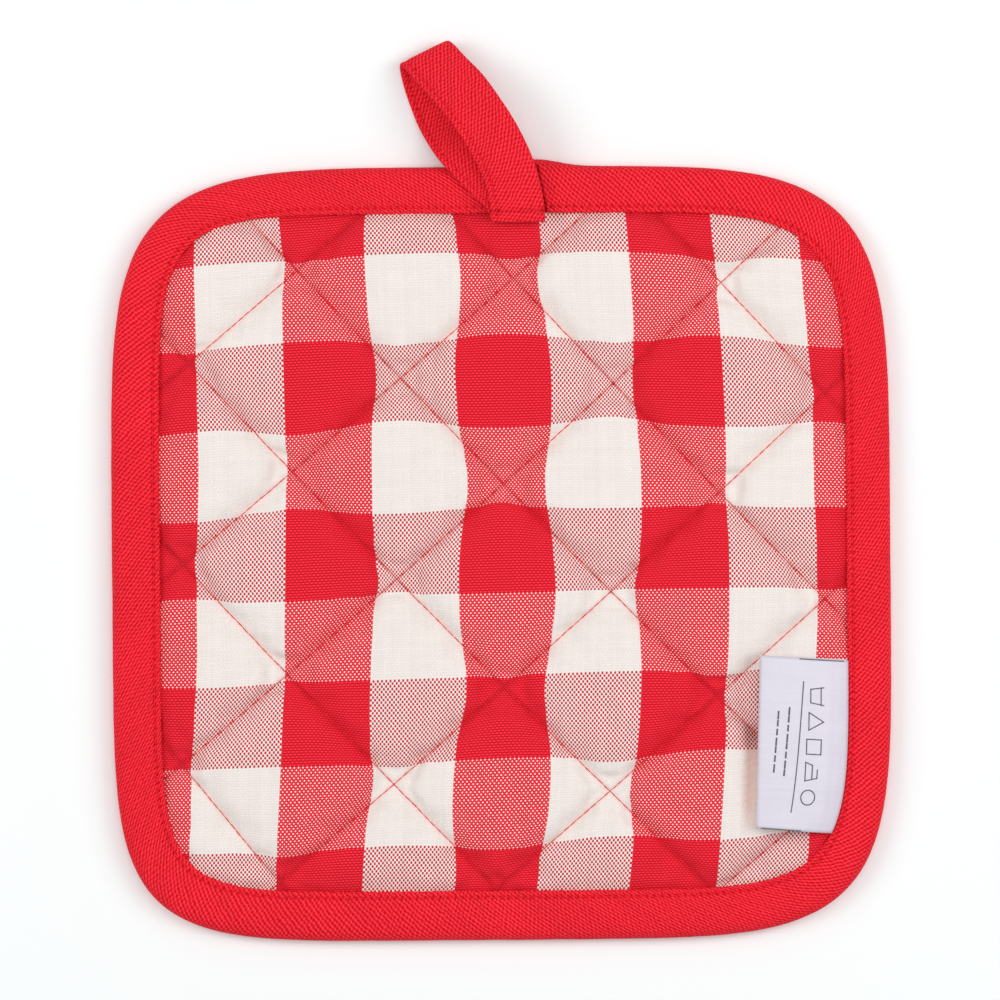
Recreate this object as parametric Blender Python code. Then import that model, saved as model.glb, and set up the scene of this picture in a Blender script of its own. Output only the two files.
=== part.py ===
"""A quilted pot holder with a bound edge, a hanging loop and a folded label, lying on its back.

Units are metres and +Z is up. The underside rests on z = 0, +Y points to the hanging loop, and the
origin is the middle of the underside. The tables below are in millimetres and degrees.
"""
import math
from collections import namedtuple

import bmesh
import bpy
from mathutils import Vector

MM = 0.001

# Outline: two rounded squares, the outer edge of the binding and its inner edge on the face.
# Each side's distance from the middle, and how square each corner is (a superellipse's power:
# 2 is a circle's, and a higher one is squarer).
Edge = namedtuple("Edge", "right top left bottom top_right top_left bottom_left bottom_right")
OUTER_EDGE = Edge(101.8, 100.6, 101.3, 101.0, 5.0, 5.3, 5.5, 5.1)
INNER_EDGE = Edge(90.0, 88.5, 88.8, 88.3, 6.4, 7.2, 8.1, 6.7)
EDGE_TURN = 0.45
EDGE_STATIONS = 96

# Quilting: straight rows of stitching in two directions, a hand's slip apart from even, all drawn
# down a little in the middle. Distances are measured from the origin, towards the upper right for
# a falling line and the upper left for a rising one. The first and last line of each direction
# pass just outside the corners and only bound the outermost puffs.
QuiltLine = namedtuple("QuiltLine", "distance direction")
FALLING_LINES = (
    QuiltLine(127.0, -48.0),
    QuiltLine(89.0, -48.0),
    QuiltLine(51.5, -46.7),
    QuiltLine(13.2, -45.4),
    QuiltLine(-24.1, -44.9),
    QuiltLine(-62.5, -45.1),
    QuiltLine(-100.6, -49.1),
    QuiltLine(-138.0, -49.1),
)
RISING_LINES = (
    QuiltLine(128.0, 42.4),
    QuiltLine(89.3, 42.4),
    QuiltLine(51.0, 41.8),
    QuiltLine(12.7, 42.1),
    QuiltLine(-27.0, 41.6),
    QuiltLine(-66.1, 40.5),
    QuiltLine(-105.2, 38.4),
    QuiltLine(-144.0, 38.4),
)
QUILT_SAG = 3.6
QUILT_SAG_AT = 100.0
PUFF_CUTS = (0.08, 0.22, 0.5, 0.78, 0.92)
PUFF_ROUNDNESS = 0.6
PUFF_FLAT_FROM = 0.55

# Heights above the surface that the pot holder lies on.
PUFF_TOP = 7.8
SEAM_TOP = 4.5
SEAM_UNDERSIDE = 1.7
BORDER_SLOPE = 0.85

# Rings of the pad's edge inside the binding: how far in from the outer edge, as a share of the
# binding's width, and the height.
Ring = namedtuple("Ring", "inset height")
PAD_FACE_INSET = 0.93
PAD_RINGS = (
    Ring(0.22, 4.45),
    Ring(0.15, 3.1),
    Ring(0.22, 1.75),
    Ring(PAD_FACE_INSET, SEAM_UNDERSIDE),
)

# The binding's section, from its inner edge on the face round the outside to the underside and
# back through the fold that holds the pad.
BINDING_SECTION = (
    Ring(1.0, 5.9),
    Ring(0.55, 6.2),
    Ring(0.2, 6.05),
    Ring(0.05, 5.0),
    Ring(0.0, 3.1),
    Ring(0.05, 1.1),
    Ring(0.2, 0.0),
    Ring(1.0, 0.0),
    Ring(1.0, 1.3),
    Ring(0.14, 1.35),
    Ring(0.1, 3.1),
    Ring(0.14, 4.85),
    Ring(1.0, 4.8),
)

# The hanging loop: one tape, from its sewn end on the face of the binding over the front leg to
# the fold at the tip, and back along the surface to the same end underneath. Each row is the
# tape's middle, the way that its width points in plan, and how far its right side is tipped up.
TAPE_WIDTH = 14.0
TAPE_THICKNESS = 1.5
TAPE_STEPS = 44
TAPE_ACROSS = 4
TapePoint = namedtuple("TapePoint", "place x y z across tipped")
LOOP_TAPE = (
    TapePoint("front end", 4.7, 86.0, 9.3, 0.0, 0.0),
    TapePoint("front over the stitching", 4.4, 90.5, 9.3, 2.0, 0.0),
    TapePoint("front over the binding", 3.3, 96.0, 9.9, 7.0, 0.0),
    TapePoint("front leaves the edge", 1.3, 101.5, 11.6, 17.0, 0.0),
    TapePoint("front rising", -1.9, 107.9, 13.2, 27.0, 0.0),
    TapePoint("front crest", -5.2, 113.2, 13.6, 33.0, 0.0),
    TapePoint("front falling", -9.7, 119.4, 11.8, 36.0, 0.0),
    TapePoint("front near the tip", -15.3, 125.6, 7.9, 33.0, 0.0),
    TapePoint("tip", -19.6, 130.0, 3.6, 27.0, 0.0),
    TapePoint("back near the tip", -18.9, 125.2, 0.8, 16.0, 0.0),
    TapePoint("back on the surface", -16.0, 116.5, 0.8, 24.0, 0.0),
    TapePoint("back starts to rise", -13.2, 110.6, 2.6, 31.0, -8.0),
    TapePoint("back climbs the edge", -9.9, 105.8, 5.9, 36.0, -8.0),
    TapePoint("back over the edge", -6.2, 102.0, 7.5, 38.0, 0.0),
    TapePoint("back over the binding", -1.4, 96.8, 7.5, 30.0, 0.0),
    TapePoint("back over the stitching", 3.4, 90.5, 7.5, 8.0, 0.0),
    TapePoint("back end", 4.7, 86.0, 7.5, 0.0, 0.0),
)

# The label: a ribbon folded in two over its left edge, its ends at the binding's inner edge.
LABEL_TOP = -27.2
LABEL_LENGTH = 44.8
LABEL_FOLD_TOP_X = 67.8
LABEL_FOLD_BOTTOM_X = 66.6
LABEL_SLANT = 1.4
LABEL_THICKNESS = 1.0
LABEL_LAYER_GAP = 0.35
LABEL_ROWS = 10
LABEL_STEPS = 12
LABEL_FOLD_STEPS = 4
GAP = 0.35
LabelPoint = namedtuple("LabelPoint", "across height")
LABEL_ARCH = (
    LabelPoint(0.0, 9.3),
    LabelPoint(0.3, 9.5),
    LabelPoint(0.6, 9.0),
    LabelPoint(0.85, 7.2),
    LabelPoint(1.0, 5.5),
)

BINDING_RED = (0.80, 0.010, 0.030)
GINGHAM_RED = (0.78, 0.22, 0.24)
LABEL_WHITE = (0.76, 0.73, 0.84)


def material(name, colour, roughness):
    cloth = bpy.data.materials.new(name)
    cloth.use_nodes = True
    shader = cloth.node_tree.nodes["Principled BSDF"]
    shader.inputs["Base Color"].default_value = (*colour, 1.0)
    shader.inputs["Roughness"].default_value = roughness
    shader.inputs["Metallic"].default_value = 0.0
    return cloth


def edge_radius(edge, angle):
    """Distance from the middle to a rounded square's edge, in millimetres."""
    turned = angle - math.radians(EDGE_TURN)
    cosine = math.cos(turned)
    sine = math.sin(turned)
    half_width = edge.right if cosine >= 0 else edge.left
    half_height = edge.top if sine >= 0 else edge.bottom
    if sine >= 0:
        power = edge.top_right if cosine >= 0 else edge.top_left
    else:
        power = edge.bottom_right if cosine >= 0 else edge.bottom_left
    reach = abs(cosine / half_width) ** power + abs(sine / half_height) ** power
    return reach ** (-1 / power)


def border_point(angle, inset, height):
    """A point at an angle, inset 0 on the outer edge and 1 on the binding's inner edge."""
    outer = edge_radius(OUTER_EDGE, angle)
    radius = outer + (edge_radius(INNER_EDGE, angle) - outer) * inset
    return Vector((radius * math.cos(angle), radius * math.sin(angle), height))


def inset_at(x, y):
    angle = math.atan2(y, x)
    outer = edge_radius(OUTER_EDGE, angle)
    return (outer - math.hypot(x, y)) / (outer - edge_radius(INNER_EDGE, angle))


def even_angles(count):
    """Angles of stations that lie evenly along the outer edge."""
    fine = 3600
    angles = [2 * math.pi * step / fine for step in range(fine + 1)]
    points = [border_point(angle, 0.0, 0.0) for angle in angles]
    lengths = [0.0]
    for before, after in zip(points, points[1:]):
        lengths.append(lengths[-1] + (after - before).length)
    stations = []
    place = 0
    for station in range(count):
        wanted = lengths[-1] * station / count
        while lengths[place + 1] < wanted:
            place += 1
        stations.append(angles[place])
    return stations


def sag(x):
    return QUILT_SAG * (x / QUILT_SAG_AT) ** 2


def line_normal(line):
    direction = math.radians(line.direction)
    return Vector((-math.sin(direction), math.cos(direction), 0.0))


def beyond(line, x, y):
    """How far a point lies past a quilting line, with the sag taken out."""
    normal = line_normal(line)
    return normal.x * x + normal.y * (y - sag(x)) - line.distance


def puff_height(lines, x, y):
    """0 on a quilting line and 1 halfway between it and its neighbour."""
    for near, far in zip(lines, lines[1:]):
        below_near = -beyond(near, x, y)
        above_far = beyond(far, x, y)
        if below_near >= 0 and above_far >= 0:
            share = below_near / (below_near + above_far)
            return max(math.sin(math.pi * share), 0.0) ** PUFF_ROUNDNESS
    return 0.0


def puff_at(x, y):
    """0 on the quilting and at the binding, 1 at the middle of a puff."""
    border = min(max((inset_at(x, y) - 1.0) / BORDER_SLOPE, 0.0), 1.0)
    border = border * border * (3 - 2 * border)
    return border * puff_height(FALLING_LINES, x, y) * puff_height(RISING_LINES, x, y)


def cut_lines(lines):
    """Every quilting line, and the lines between them that shape the puffs."""
    cuts = []
    for near, far in zip(lines, lines[1:]):
        for share in (0.0, *PUFF_CUTS):
            distance = near.distance + (far.distance - near.distance) * share
            direction = near.direction + (far.direction - near.direction) * share
            cuts.append(QuiltLine(distance, direction))
    return cuts


def boundary(mesh, faces):
    """Edges on the rim of an open sheet."""
    return [edge for edge in {edge for face in faces for edge in face.edges} if edge.is_boundary]


def finish(mesh, name, cloth, smooth):
    """Scale a closed bmesh from millimetres and make it an object."""
    bmesh.ops.recalc_face_normals(mesh, faces=mesh.faces)
    bmesh.ops.scale(mesh, vec=(MM, MM, MM), verts=mesh.verts)
    data = bpy.data.meshes.new(name)
    mesh.to_mesh(data)
    mesh.free()
    data.materials.append(cloth)
    if smooth:
        data.shade_smooth()
    body = bpy.data.objects.new(name, data)
    bpy.context.scene.collection.objects.link(body)
    return body


def make_pad(cloth):
    """The quilted pad: a sheet cut along the quilting, puffed up, and closed by its edge."""
    mesh = bmesh.new()
    rim = [border_point(angle, PAD_FACE_INSET, 0.0) for angle in even_angles(EDGE_STATIONS)]
    mesh.faces.new([mesh.verts.new((point.x, point.y - sag(point.x), 0.0)) for point in rim])
    for line in (*cut_lines(FALLING_LINES), *cut_lines(RISING_LINES)):
        normal = line_normal(line)
        everything = [*mesh.verts, *mesh.edges, *mesh.faces]
        bmesh.ops.bisect_plane(
            mesh, geom=everything, dist=0.02, plane_co=normal * line.distance, plane_no=normal
        )
    bmesh.ops.remove_doubles(mesh, verts=mesh.verts, dist=0.5)
    for vert in mesh.verts:
        vert.co.y += sag(vert.co.x)
    for edge in boundary(mesh, mesh.faces):
        for vert in edge.verts:
            vert.co = border_point(math.atan2(vert.co.y, vert.co.x), PAD_FACE_INSET, 0.0)

    face_side = list(mesh.faces)
    copied = bmesh.ops.duplicate(mesh, geom=[*mesh.verts, *mesh.edges, *mesh.faces])
    under_side = [item for item in copied["geom"] if isinstance(item, bmesh.types.BMFace)]
    bmesh.ops.reverse_faces(mesh, faces=under_side)
    for vert in {vert for face in face_side for vert in face.verts}:
        vert.co.z = SEAM_TOP + (PUFF_TOP - SEAM_TOP) * puff_at(vert.co.x, vert.co.y)
    for vert in {vert for face in under_side for vert in face.verts}:
        pressed = min(puff_at(vert.co.x, vert.co.y) / PUFF_FLAT_FROM, 1.0)
        vert.co.z = SEAM_UNDERSIDE * (1.0 - pressed)

    loop = boundary(mesh, face_side)
    for ring in PAD_RINGS:
        grown = bmesh.ops.extrude_edge_only(mesh, edges=loop)["geom"]
        loop = [item for item in grown if isinstance(item, bmesh.types.BMEdge)]
        for vert in {vert for edge in loop for vert in edge.verts}:
            vert.co = border_point(math.atan2(vert.co.y, vert.co.x), ring.inset, ring.height)
    bmesh.ops.remove_doubles(mesh, verts=mesh.verts, dist=0.02)
    bmesh.ops.triangulate(mesh, faces=mesh.faces)
    return finish(mesh, "quilted_pad", cloth, smooth=True)


def make_binding(cloth):
    """The binding: its section carried round the edge, station by station."""
    mesh = bmesh.new()
    angles = even_angles(EDGE_STATIONS)
    loops = []
    for ring in BINDING_SECTION:
        verts = [mesh.verts.new(border_point(angle, ring.inset, ring.height)) for angle in angles]
        pairs = zip(verts, verts[1:] + verts[:1])
        loops.append([mesh.edges.new(pair) for pair in pairs])
    for near, far in zip(loops, loops[1:] + loops[:1]):
        bmesh.ops.bridge_loops(mesh, edges=near + far)
    return finish(mesh, "binding", cloth, smooth=False)


def spline(rows, share):
    """A smooth curve through rows of numbers, evenly spaced by the length between them."""
    places = [0.0]
    for before, after in zip(rows, rows[1:]):
        places.append(places[-1] + (Vector(after[:3]) - Vector(before[:3])).length)
    wanted = share * places[-1]
    start = 0
    while start < len(rows) - 2 and places[start + 1] < wanted:
        start += 1
    part = (wanted - places[start]) / (places[start + 1] - places[start])

    def slope(index):
        low = max(index - 1, 0)
        high = min(index + 1, len(rows) - 1)
        return (Vector(rows[high]) - Vector(rows[low])) / (places[high] - places[low])

    reach = places[start + 1] - places[start]
    square = part * part
    cube = square * part
    return (
        Vector(rows[start]) * (2 * cube - 3 * square + 1)
        + slope(start) * reach * (cube - 2 * square + part)
        + Vector(rows[start + 1]) * (3 * square - 2 * cube)
        + slope(start + 1) * reach * (cube - square)
    )


def make_loop(cloth):
    """The hanging loop: a flat tape laid along its route, then given its thickness."""
    rows = [(point.x, point.y, point.z, point.across, point.tipped) for point in LOOP_TAPE]
    mesh = bmesh.new()
    bmesh.ops.create_grid(mesh, x_segments=TAPE_STEPS, y_segments=TAPE_ACROSS, size=1.0)
    for vert in mesh.verts:
        *middle, across, tipped = spline(rows, (vert.co.x + 1) / 2)
        across = math.radians(across)
        tipped = math.radians(tipped)
        width = Vector((
            math.cos(across) * math.cos(tipped),
            math.sin(across) * math.cos(tipped),
            math.sin(tipped),
        ))
        vert.co = Vector(middle) + width * (vert.co.y * TAPE_WIDTH / 2)
        vert.co.z = max(vert.co.z, TAPE_THICKNESS / 2)
    body = finish(mesh, "hanging_loop", cloth, smooth=False)
    thicken(body, TAPE_THICKNESS)
    return body


def thicken(body, thickness):
    wall = body.modifiers.new("thickness", "SOLIDIFY")
    wall.thickness = thickness * MM
    wall.offset = 0.0
    wall.use_even_offset = True


def binding_edge_x(y):
    """Where the binding's inner edge crosses a height on the right-hand side."""
    inner = 0.0
    outer = OUTER_EDGE.right
    for _ in range(30):
        middle = (inner + outer) / 2
        if inset_at(middle, y) > 1.0:
            inner = middle
        else:
            outer = middle
    return inner


def make_label(cloth):
    """The label: out from the binding as the lower layer, round its fold, and back on top."""
    layer_step = LABEL_THICKNESS + LABEL_LAYER_GAP
    route = [(1 - step / LABEL_STEPS, 0.0, 0.0) for step in range(LABEL_STEPS)]
    for step in range(LABEL_FOLD_STEPS + 1):
        turn = math.pi * step / LABEL_FOLD_STEPS
        bulge = math.sin(turn) * layer_step / 2
        route.append((0.0, bulge, layer_step * (1 - math.cos(turn)) / 2))
    route += [((step + 1) / LABEL_STEPS, 0.0, layer_step) for step in range(LABEL_STEPS)]

    arch = [(point.across, 0.0, point.height) for point in LABEL_ARCH]
    mesh = bmesh.new()
    bmesh.ops.create_grid(mesh, x_segments=len(route) - 1, y_segments=LABEL_ROWS, size=1.0)
    for vert in mesh.verts:
        across, bulge, lift = route[round((vert.co.x + 1) / 2 * (len(route) - 1))]
        down = (1 - vert.co.y) / 2
        y = LABEL_TOP - LABEL_LENGTH * down - LABEL_SLANT * across
        fold_x = LABEL_FOLD_TOP_X + (LABEL_FOLD_BOTTOM_X - LABEL_FOLD_TOP_X) * down
        end_x = binding_edge_x(y) - GAP
        height = next(
            before[2] + (after[2] - before[2]) * (across - before[0]) / (after[0] - before[0])
            for before, after in zip(arch, arch[1:])
            if across <= after[0]
        )
        vert.co = (fold_x - bulge + (end_x - fold_x) * across, y, height + lift)
    body = finish(mesh, "label", cloth, smooth=False)
    thicken(body, LABEL_THICKNESS)
    return body


def main():
    for old in list(bpy.data.objects):
        bpy.data.objects.remove(old)
    red_tape = material("red_tape", BINDING_RED, 0.85)
    make_pad(material("gingham", GINGHAM_RED, 0.9))
    make_binding(red_tape)
    make_loop(red_tape)
    make_label(material("label_ribbon", LABEL_WHITE, 0.45))


main()
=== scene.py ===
"""A quilted pot holder with a bound edge, a hanging loop and a folded label, on a pale table.

The file is laid out as an add-on and run as a script. Shapes are worked out in millimetres, with
+Y towards the hanging loop and z = 0 the table, and are scaled to metres when they become objects.
"""
import math
from collections import namedtuple

import bmesh
import bpy
from bpy.props import FloatProperty, FloatVectorProperty, IntProperty, PointerProperty
from mathutils import Matrix, Vector, noise
from mathutils.bvhtree import BVHTree


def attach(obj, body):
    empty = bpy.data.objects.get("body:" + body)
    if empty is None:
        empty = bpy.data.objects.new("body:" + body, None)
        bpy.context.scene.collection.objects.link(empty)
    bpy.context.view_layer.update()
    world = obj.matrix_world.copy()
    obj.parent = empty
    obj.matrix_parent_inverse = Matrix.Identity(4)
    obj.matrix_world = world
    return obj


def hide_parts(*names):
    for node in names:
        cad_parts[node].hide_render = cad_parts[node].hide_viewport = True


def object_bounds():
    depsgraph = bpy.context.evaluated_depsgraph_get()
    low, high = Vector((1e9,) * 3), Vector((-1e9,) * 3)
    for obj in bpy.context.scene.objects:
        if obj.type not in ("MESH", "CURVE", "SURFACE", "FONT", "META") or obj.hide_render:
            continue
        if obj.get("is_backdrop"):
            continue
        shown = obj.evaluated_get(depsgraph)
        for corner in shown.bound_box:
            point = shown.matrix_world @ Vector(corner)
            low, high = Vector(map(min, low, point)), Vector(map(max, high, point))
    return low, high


bl_info = {
    "name": "Quilted Pot Holder",
    "version": (1, 0, 0),
    "blender": (4, 5, 0),
    "location": "3D View > Sidebar > Pot Holder",
    "description": "Sews a gingham pot holder with its binding, loop, label and stitching",
    "category": "Object",
}

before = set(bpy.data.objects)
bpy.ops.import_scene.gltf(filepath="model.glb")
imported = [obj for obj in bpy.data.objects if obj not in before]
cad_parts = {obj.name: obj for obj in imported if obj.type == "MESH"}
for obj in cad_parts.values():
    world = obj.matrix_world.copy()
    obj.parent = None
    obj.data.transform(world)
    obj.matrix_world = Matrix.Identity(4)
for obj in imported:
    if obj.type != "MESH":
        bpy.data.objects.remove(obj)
CAD_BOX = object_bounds()
MM = 0.001

# Outline, near to the CAD's: the outer edge of the binding and its inner edge on the face. Each
# side's distance from the middle, and how square each corner is.
Edge = namedtuple("Edge", "right top left bottom top_right top_left bottom_left bottom_right")
OUTER_EDGE = Edge(101.8, 100.6, 101.3, 101.1, 5.15, 5.1, 6.0, 5.35)
INNER_EDGE = Edge(90.4, 88.5, 88.8, 88.3, 6.4, 7.2, 7.7, 6.7)
EDGE_TURN = 0.45
BINDING_WIDTH = 12.2

# Quilting: rows of stitching in two directions, drawn down a little in the middle. The first and
# last of each direction pass outside the corners and only bound the outermost puffs.
QuiltLine = namedtuple("QuiltLine", "distance direction")
FALLING_LINES = tuple(QuiltLine(*row) for row in (
    (127.0, -48.0), (89.0, -48.0), (51.5, -46.7), (13.2, -45.4), (-24.1, -44.9), (-62.5, -45.1),
    (-100.6, -49.1), (-138.0, -49.1),
))
RISING_LINES = tuple(QuiltLine(*row) for row in (
    (128.0, 42.4), (89.3, 42.4), (51.0, 41.8), (12.7, 42.1), (-27.0, 41.6), (-66.1, 40.5),
    (-105.2, 38.4), (-144.0, 38.4),
))
SEWN_LINES = (*FALLING_LINES[1:-1], *RISING_LINES[1:-1])
QUILT_SAG = 3.6
QUILT_SAG_AT = 100.0
PUFF_CUTS = (
    0.018, 0.045, 0.08, 0.12, 0.165, 0.22, 0.28, 0.345, 0.42,
    0.5, 0.58, 0.655, 0.72, 0.78, 0.835, 0.88, 0.92, 0.955, 0.982,
)

# Heights above the table.
PUFF_TOP = 7.8
SEAM_TOP = 4.5
SEAM_UNDERSIDE = 1.7
SHOULDER = 2.6
BORDER_SHOULDER = 4.6
PUFF_START = 0.72
UNDERSIDE_PUFF = 0.8

# The cloth simulation that fills the puffs, at ten times the real size. The cap is how far, in
# millimetres of the real size, it may move a point.
SIM_SCALE = 0.01
SIM_FRAMES = 18
SIM_CAP = 3.2

# Pleats run in this far from the stitching and from the binding.
PLEAT_REACH = 16.0
BORDER_PLEAT_REACH = 14.0

# The hollow in the pad along the free side of the label, where shade is also painted.
HOLLOW_X = 65.4
HOLLOW_Y = -57.5
HOLLOW_LEAN = 0.05
HOLLOW_REACH = 1.7
HOLLOW_HALF_LENGTH = 13.5
HOLLOW_DEPTH = 1.2

# The pad's edge inside the binding: how far in from the outer edge, as a share of the binding's
# width, and the height.
Ring = namedtuple("Ring", "inset height")
PAD_FACE_INSET = 0.93
PAD_RINGS = (Ring(0.22, 4.45), Ring(0.16, 3.1), Ring(0.22, 1.75), Ring(PAD_FACE_INSET, 1.7))
RIM_STATIONS = 360

# The gingham: stripes of even width across and down the cloth, and how quilting and handling have
# pulled them out of true. Each row of stitching takes up some cloth on both of its sides.
Stripes = namedtuple("Stripes", "width middle lean bow spread skew")
STRIPES_ACROSS = Stripes(24.1, 1.9, 0.0, 4.15, 1.75, 1.25)
STRIPES_DOWN = Stripes(23.1, 1.25, -2.5, 1.9, 3.5, 2.05)
MIDDLE_STRIPE = 4.5
STRIPES_IN_MAP = 10.0
TAKE_UP = 0.95
TAKE_UP_REACH = 2.2

# Tints of a yarn, as shares of its red, green and blue: painted shade beside it and a painted
# highlight on its crown, painted shade where the cloth is gathered into a seam, and painted shade
# where a needle went in. The weft lies deeper, so it is painted darker.
RED_SHADED = (0.66, 0.08, 0.2)
RED_HIGHLIT = (1.1, 2.1, 1.7)
CREAM_SHADED = (0.945, 0.93, 0.915)
CREAM_HIGHLIT = (1.02, 1.02, 1.02)
RED_PAINTED_SHADE = (0.66, 0.06, 0.25)
CREAM_PAINTED_SHADE = (1.0, 0.75, 0.7)
NEEDLE_HOLE_SHADE = (0.5, 0.15, 0.3)
UNTINTED = (1.0, 1.0, 1.0)
WARP_SHADE = 1.0
WEFT_SHADE = 0.7
# How much larger the weft shows over cream warp, and smaller where it is cream itself.
SLIM_CREAM_WARP = 0.125
SLIM_CREAM_WEFT = 0.065
# Added to every count of yarns, so that none is below zero.
COUNT_FROM = 4000.0

# The binding's section, from its inner edge on the face round the outside and back through the
# fold that holds the pad. Sewn is how far the stitching pulls that point in.
Section = namedtuple("Section", "inset height sewn")
BINDING_SECTION = tuple(Section(*row) for row in (
    (1.0, 4.95, 0.0), (1.012, 5.3, 0.0), (1.0, 5.62, 0.0), (0.975, 5.83, 0.0), (0.94, 5.95, 0.1),
    (0.91, 5.98, 0.45), (0.89, 5.99, 0.85), (0.875, 6.0, 1.0), (0.86, 6.01, 0.85),
    (0.84, 6.02, 0.45), (0.8, 6.05, 0.1), (0.72, 6.12, 0.0), (0.6, 6.19, 0.0), (0.48, 6.2, 0.0),
    (0.36, 6.17, 0.0), (0.26, 6.06, 0.0), (0.18, 5.82, 0.0), (0.115, 5.42, 0.0),
    (0.065, 4.88, 0.0), (0.03, 4.2, 0.0), (0.008, 3.5, 0.0), (0.0, 2.85, 0.0), (0.01, 2.15, 0.0),
    (0.035, 1.45, 0.0), (0.08, 0.82, 0.0), (0.14, 0.36, 0.0), (0.22, 0.1, 0.0), (0.34, 0.03, 0.0),
    (0.5, 0.02, 0.0), (0.7, 0.02, 0.0), (0.8, 0.02, 0.1), (0.84, 0.02, 0.45), (0.86, 0.02, 0.85),
    (0.875, 0.02, 1.0), (0.89, 0.02, 0.85), (0.91, 0.02, 0.45), (0.95, 0.03, 0.0),
    (0.985, 0.2, 0.0), (1.005, 0.5, 0.0), (1.0, 0.9, 0.0), (0.97, 1.2, 0.0), (0.85, 1.33, 0.0),
    (0.5, 1.35, 0.0), (0.22, 1.42, 0.0), (0.14, 2.0, 0.0), (0.11, 3.0, 0.0), (0.14, 4.2, 0.0),
    (0.22, 4.74, 0.0), (0.5, 4.8, 0.0), (0.85, 4.8, 0.0), (0.97, 4.83, 0.0),
))
# Stitches round the binding, stations of the tape's mesh to a stitch, how far in the stitching
# lies as a share of the binding's width, and the thread's thickness.
BINDING_STITCHES = 328
STATIONS_PER_STITCH = 4
STITCH_INSET = 0.875
BINDING_THREAD = 0.34
# The tape's outer layer on the face lies above the first height, the side with the loop beyond the
# second, and between two holes the tape still dips by the last, as a share.
FACE_LAYER = 4.9
TOP_SIDE = 80.0
HALF_STITCH = 0.3

# Where the binding's ends overlap beside the loop: a slanting line, and a step that fades out. The
# loop's ends push the edge outwards there.
JOIN_X = 8.8
JOIN_Y = 102.6
JOIN_LEAN = 0.23
JOIN_STEP = 0.6
JOIN_FADE = 16.0
BULGE = 1.9
BULGE_X = 9.0
BULGE_REACH = 8.5

# The hanging loop: one tape, folded along its right side and sewn along its left, from its sewn
# end on the face, over the front leg to the tip, and back along the table to the same end.
TapePoint = namedtuple("TapePoint", "x y z across tipped")
LOOP_TAPE = tuple(TapePoint(*row) for row in (
    (4.7, 86.0, 9.3, 0.0, 0.0),  # front end
    (4.4, 90.5, 9.3, 2.0, 0.0),  # front over the stitching
    (3.3, 96.0, 9.9, 7.0, 0.0),  # front over the binding
    (1.3, 101.5, 11.6, 17.0, 0.0),  # front leaves the edge
    (-1.9, 107.9, 13.2, 27.0, 0.0),  # front rising
    (-5.2, 113.2, 13.6, 33.0, 0.0),  # front crest
    (-9.7, 119.4, 11.8, 36.0, 0.0),  # front falling
    (-15.3, 125.6, 7.9, 33.0, 0.0),  # front near the tip
    (-19.6, 130.0, 3.6, 27.0, 0.0),  # tip
    (-18.9, 125.2, 0.8, 16.0, 0.0),  # back near the tip
    (-16.0, 116.5, 0.8, 24.0, 0.0),  # back on the surface
    (-13.2, 110.6, 2.6, 31.0, -8.0),  # back starts to rise
    (-9.9, 105.8, 5.9, 36.0, -8.0),  # back climbs the edge
    (-6.2, 102.0, 7.5, 38.0, 0.0),  # back over the edge
    (-1.4, 96.8, 7.5, 30.0, 0.0),  # back over the binding
    (3.4, 90.5, 7.5, 8.0, 0.0),  # back over the stitching
    (4.7, 86.0, 7.5, 0.0, 0.0),  # back end
))
TapeEdge = namedtuple("TapeEdge", "side height sewn")
TAPE_SECTION = tuple(TapeEdge(*row) for row in (
    (-6.45, 0.0, 0.0), (-6.85, 0.13, 0.0), (-7.0, 0.36, 0.0), (-6.85, 0.56, 0.0),
    (-6.4, 0.66, 0.0), (-5.75, 0.68, 0.45), (-5.4, 0.68, 1.0), (-5.05, 0.68, 0.45),
    (-4.2, 0.71, 0.0), (-2.8, 0.73, 0.0), (-1.4, 0.74, 0.0), (0.0, 0.74, 0.0), (1.4, 0.74, 0.0),
    (2.8, 0.73, 0.0), (4.2, 0.71, 0.0), (5.6, 0.68, 0.0), (6.5, 0.6, 0.0), (6.9, 0.34, 0.0),
    (7.0, 0.0, 0.0), (6.9, -0.34, 0.0), (6.5, -0.6, 0.0), (5.6, -0.68, 0.0), (4.2, -0.7, 0.0),
    (1.4, -0.7, 0.0), (-1.4, -0.7, 0.0), (-4.2, -0.7, 0.0), (-5.05, -0.68, 0.45),
    (-5.4, -0.68, 1.0), (-5.75, -0.68, 0.45), (-6.4, -0.66, 0.0), (-6.85, -0.56, 0.0),
    (-7.0, -0.36, 0.0), (-6.85, -0.13, 0.0),
))
TAPE_STITCHES = 62
TAPE_SIDE_STITCHES = -5.4
TAPE_FACE = 0.68
LOOP_THREAD = 0.3
END_ROW_THREAD = 0.4
# How much of the binding's groove and holes the doubled tape takes, and its dip between holes.
TAPE_GIVE = 0.8
QUARTER_STITCH = 0.25
# The row of stitches across the sewn ends.
END_ROW = 2.9
END_ROW_STITCHES = 4
END_ROW_PITCH = 2.8
END_ROW_SHIFT = 0.7

# The label: a ribbon folded in two over its left edge, its ends at the binding's inner edge.
LABEL_TOP = -26.9
LABEL_LENGTH = 44.8
LABEL_UNFOLDED = 47.0
LABEL_FOLD_TOP_X = 68.6
LABEL_FOLD_BOTTOM_X = 67.6
LABEL_SLANT = 1.4
LABEL_LIFT = 1.9
LABEL_DROP = 0.75
LABEL_WIDTH = 22.6
LABEL_STEPS = 26
LABEL_ROWS = 46
LABEL_FOLD_STEPS = 8
LabelPoint = namedtuple("LabelPoint", "across height")
LABEL_ARCH = tuple(LabelPoint(*row) for row in (
    (0.0, 9.1), (0.15, 9.3), (0.3, 9.35), (0.45, 9.2), (0.6, 8.75), (0.75, 7.9), (0.88, 6.6),
    (1.0, 5.2),
))
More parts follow.
